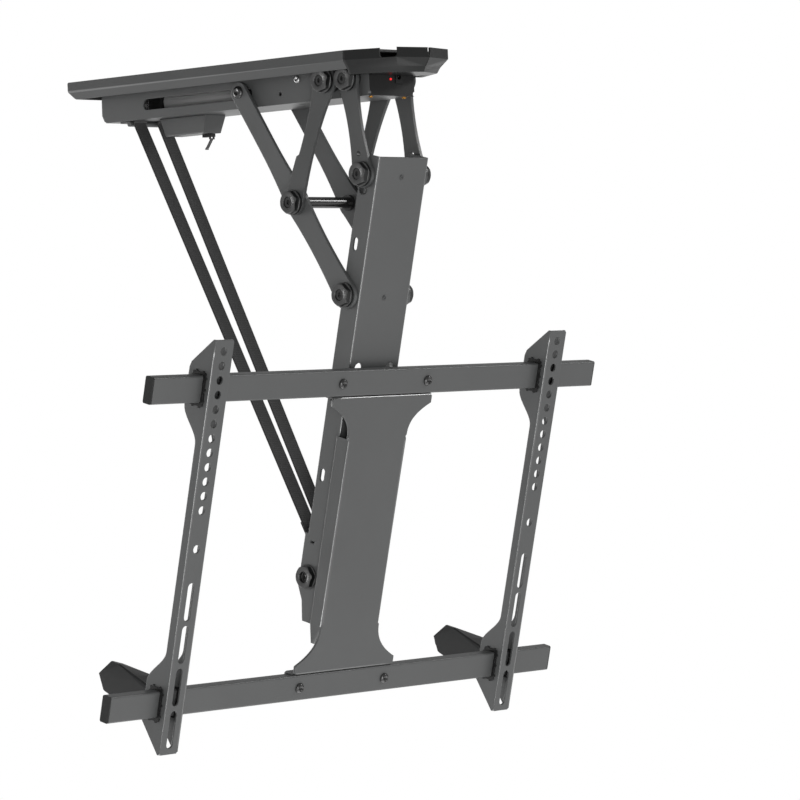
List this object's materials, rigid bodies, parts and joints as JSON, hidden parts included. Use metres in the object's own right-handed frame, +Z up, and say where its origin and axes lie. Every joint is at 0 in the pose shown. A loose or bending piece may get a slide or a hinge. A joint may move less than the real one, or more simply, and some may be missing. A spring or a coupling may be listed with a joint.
{
  "type": "tv ceiling mount",
  "caption": "Motorised flip-down ceiling bracket for a flat screen: a bevelled base, a folding linkage, a leaning column and two rails with sliding screen brackets.",
  "frame": {"origin": "centre of the four ceiling bolts, on the ceiling plane", "axes": "+X along the rails to the right as seen from behind the screen's back looking at the viewer's left; +Y runs back along the base, away from the side the screen faces; +Z is up"},
  "size_m": [0.6786, 0.4879, 0.7186],
  "materials": {
    "powder_coat": "satin charcoal powder coat",
    "powder_coat_dark": "darker satin powder coat",
    "black_plastic": "moulded black plastic",
    "nylon_black": "black nylon",
    "rubber": "matt rubber",
    "webbing": "woven strap",
    "black_metal": "gloss black steel",
    "steel": "zinc plated steel",
    "brass_plate": "yellow zinc plated screw",
    "red_lens": "clear red lens",
    "circuit_board": "green board"
  },
  "bodies": {
    "base": {"ceiling_plate": "powder_coat_dark", "base_channel": "powder_coat", "base_cover": "powder_coat", "front_end_cap": "black_plastic", "channel_screws": "steel", "panel_screws": "brass_plate", "actuator_motor": "steel", "actuator_gearbox": "black_plastic", "actuator_tube": "powder_coat", "control_box": "powder_coat", "control_board": "circuit_board", "limit_switch": "nylon_black", "dc_jack": "nylon_black", "status_led": "red_lens", "strap_anchor": "powder_coat", "base_pivot_bolts": "black_metal", "base_pivot_caps": "black_plastic", "base_spacers": "nylon_black", "strap_left": "webbing", "strap_right": "webbing"},
    "actuator_slide": {"actuator_rod": "steel", "drive_yoke": "steel"},
    "switch_arm": {"switch_lever": "black_metal"},
    "front_rockers": {"front_rocker_left": "powder_coat", "front_rocker_right": "powder_coat"},
    "main_links": {"main_link_left": "powder_coat", "main_link_right": "powder_coat", "crossbar": "black_metal", "link_pivot_bolts": "black_metal", "link_pivot_caps": "black_plastic", "slider_pins": "black_metal", "slider_spacers": "nylon_black"},
    "rear_rockers": {"rear_rocker_left": "powder_coat", "rear_rocker_right": "powder_coat", "rear_pivot_bolts": "black_metal", "rear_pivot_caps": "black_plastic"},
    "screen_column": {"column_channel": "powder_coat", "column_pivot_bolts": "black_metal", "column_pivot_caps": "black_plastic", "column_washers": "steel", "strap_shaft": "black_metal", "strap_shaft_caps": "black_plastic", "web_screws": "powder_coat_dark", "tv_plate": "powder_coat", "plate_standoffs": "powder_coat_dark", "top_rail": "powder_coat", "bottom_rail": "powder_coat", "rail_plugs": "black_plastic", "rail_screws": "black_metal"},
    "left_bracket": {"bracket_left": "powder_coat", "liners_left": "nylon_black", "bumper_arm_left": "black_plastic", "bumper_pad_left": "rubber"},
    "right_bracket": {"bracket_right": "powder_coat", "liners_right": "nylon_black", "bumper_arm_right": "black_plastic", "bumper_pad_right": "rubber"}
  },
  "joints": [
    {"name": "fold", "type": "hinge", "parent": "base", "child": "front_rockers", "pos_m": [0, -0.137, -0.0275], "axis": [1, 0, 0], "range_deg": [0, 54.02], "deforming": ["strap_left", "strap_right"]},
    {"name": "link_turn", "type": "hinge", "parent": "front_rockers", "child": "main_links", "pos_m": [0, -0.0846, -0.15246], "axis": [1, 0, 0], "range_deg": [-99.6, 0.1]},
    {"name": "column_tilt", "type": "hinge", "parent": "main_links", "child": "screen_column", "pos_m": [0, -0.15039, -0.25341], "axis": [1, 0, 0], "range_deg": [-0.1, 121.3]},
    {"name": "rear_turn", "type": "hinge", "parent": "base", "child": "rear_rockers", "pos_m": [0, -0.166, -0.0275], "axis": [1, 0, 0], "range_deg": [-48.5, 0.1]},
    {"name": "drive_travel", "type": "slide", "parent": "base", "child": "actuator_slide", "axis": [0, 1, 0], "range_m": [-0.0001, 0.1436]},
    {"name": "left_bracket_slide", "type": "slide", "parent": "screen_column", "child": "left_bracket", "axis": [1, 0, 0], "range_m": [-0.06, 0.15]},
    {"name": "right_bracket_slide", "type": "slide", "parent": "screen_column", "child": "right_bracket", "axis": [1, 0, 0], "range_m": [-0.15, 0.06]},
    {"name": "switch_lever_press", "type": "hinge", "parent": "base", "child": "switch_arm", "pos_m": [0, 0.0825, -0.0719], "axis": [1, 0, 0], "range_deg": [0, 9], "stiffness_Nm_per_rad": 0.02, "springref_deg": -2.86}
  ],
  "couplings": [
    {"joint": "link_turn", "follows": "fold", "ratio": -1.8413},
    {"joint": "column_tilt", "follows": "fold", "ratio": 2.2425},
    {"joint": "rear_turn", "follows": "fold", "ratio": -0.89476},
    {"joint": "drive_travel", "follows": "fold", "m_per_rad": 0.152}
  ]
}
